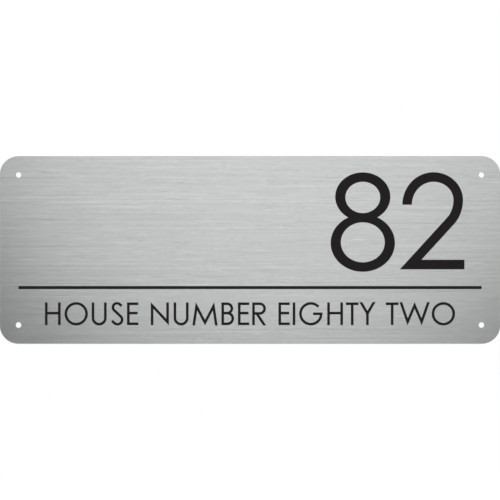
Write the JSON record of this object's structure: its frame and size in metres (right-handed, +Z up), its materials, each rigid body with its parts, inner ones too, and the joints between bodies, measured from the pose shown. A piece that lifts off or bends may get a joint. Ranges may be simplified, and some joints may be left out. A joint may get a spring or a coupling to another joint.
{
  "type": "house number plaque",
  "caption": "Flat brushed steel house number plaque with round corners, a screw hole in each corner, and a black enamelled number above a thin rule.",
  "frame": {"origin": "middle of the plate's flat back face, on the wall's surface", "axes": "+X to the right along the plate's length as it is read, +Y into the wall, +Z up; the numbered front faces -Y"},
  "size_m": [0.4, 0.002, 0.15],
  "materials": {
    "brushed_steel": "satin",
    "black_enamel": "satin"
  },
  "bodies": {
    "root": {"plate": "brushed_steel", "numeral_eight": "black_enamel", "numeral_two": "black_enamel", "rule_line": "black_enamel"}
  },
  "joints": []
}
